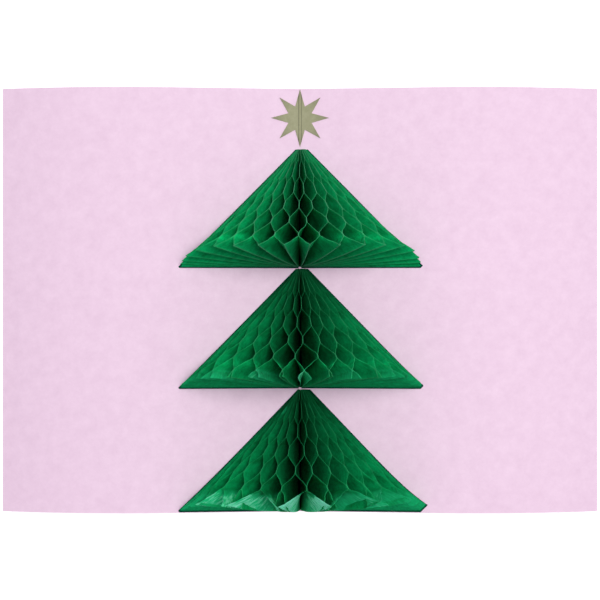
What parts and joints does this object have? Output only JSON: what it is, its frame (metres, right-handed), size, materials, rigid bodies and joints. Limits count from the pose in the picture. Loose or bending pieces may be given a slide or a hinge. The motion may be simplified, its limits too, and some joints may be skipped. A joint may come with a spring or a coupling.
{
  "type": "pop-up greeting card",
  "caption": "Open folded card with a honeycomb tissue tree in tiers fanned out across the fold and a pointed star above it.",
  "frame": {"origin": "middle of the fold, on the surface the open card lies on", "axes": "+X across the card to the right panel's outer edge, +Y along the fold towards the star, +Z out of the card"},
  "size_m": [0.2084, 0.148, 0.0424],
  "materials": {
    "card_stock": "matt, pale lilac-pink",
    "tissue": "matt, deep green",
    "star_card": "satin, muted gold"
  },
  "bodies": {
    "root": {"card": "card_stock", "tier_top": "tissue", "tier_middle": "tissue", "tier_bottom": "tissue", "star": "star_card"}
  },
  "joints": []
}
